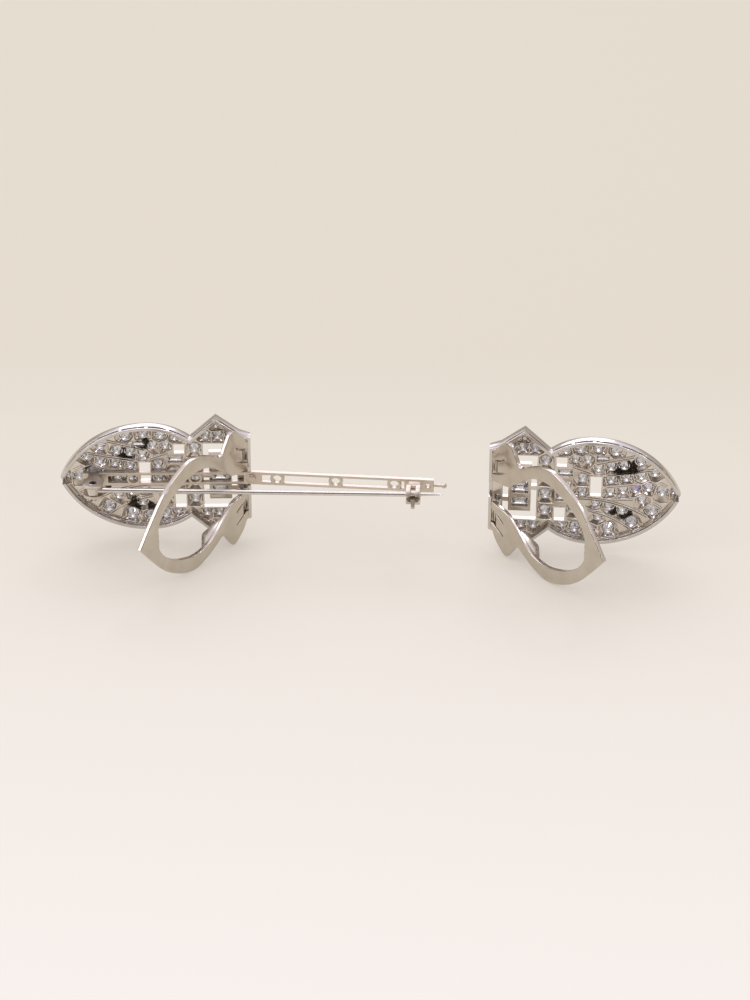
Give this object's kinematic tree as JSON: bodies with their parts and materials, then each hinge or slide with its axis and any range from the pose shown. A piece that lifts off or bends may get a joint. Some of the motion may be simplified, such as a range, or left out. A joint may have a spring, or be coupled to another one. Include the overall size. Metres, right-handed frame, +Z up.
{
  "type": "double clip brooch",
  "caption": "Pair of mirror-image pierced gem-set dress clips with sprung levers that slide onto a folded pin frame, one clip mounted and one slid off",
  "frame": {"origin": "on the standing plane under the middle of the whole arrangement", "axes": "+X along the pin frame from the pin's hinge to its catch, +Z up, -Y out of the jewel's back"},
  "size_m": [0.0976, 0.0247, 0.0219],
  "materials": {
    "setting_metal": "polished platinum rim over a satin pierced plate",
    "lever_metal": "polished white gold sheet with bevelled edges",
    "frame_metal": "polished white gold",
    "pin_steel": "drawn steel wire",
    "stone": "clear faceted stones"
  },
  "bodies": {
    "frame": {"frame_bar": "frame_metal", "pin_rivet": "frame_metal"},
    "left_clip": {"left_setting": "setting_metal", "left_round_stones": "stone", "left_head_baguettes": "stone", "left_leaf_baguettes": "stone"},
    "right_clip": {"right_setting": "setting_metal", "right_round_stones": "stone", "right_head_baguettes": "stone", "right_leaf_baguettes": "stone"},
    "left_lever": {"left_lever": "lever_metal"},
    "right_lever": {"right_lever": "lever_metal"},
    "pin": {"pin_stem": "pin_steel"},
    "catch": {"catch_sleeve": "frame_metal"}
  },
  "joints": [
    {"name": "left_clip_slide", "type": "slide", "parent": "frame", "child": "left_clip", "axis": [-0.9981, -0.061, 0], "range_m": [0, 0.037]},
    {"name": "right_clip_slide", "type": "slide", "parent": "frame", "child": "right_clip", "axis": [0.9981, -0.061, 0], "range_m": [-0.037, 0]},
    {"name": "left_lever_hinge", "type": "hinge", "parent": "left_clip", "child": "left_lever", "pos_m": [-0.02032, 0.00982, 0.01088], "axis": [0.0052, -0.0853, 0.9963], "range_deg": [-39, 0]},
    {"name": "right_lever_hinge", "type": "hinge", "parent": "right_clip", "child": "right_lever", "pos_m": [0.02032, 0.00756, 0.01088], "axis": [0.0052, 0.0853, -0.9963], "range_deg": [-34, 0]},
    {"name": "pin_hinge", "type": "hinge", "parent": "frame", "child": "pin", "pos_m": [-0.04315, 0.00543, 0.01062], "axis": [-0.0052, 0.0853, -0.9963], "range_deg": [0, 45]},
    {"name": "catch_turn", "type": "hinge", "parent": "frame", "child": "catch", "pos_m": [0.00694, 0.00578, 0.01065], "axis": [0.9981, -0.061, 0], "range_deg": [-100, 0]}
  ]
}
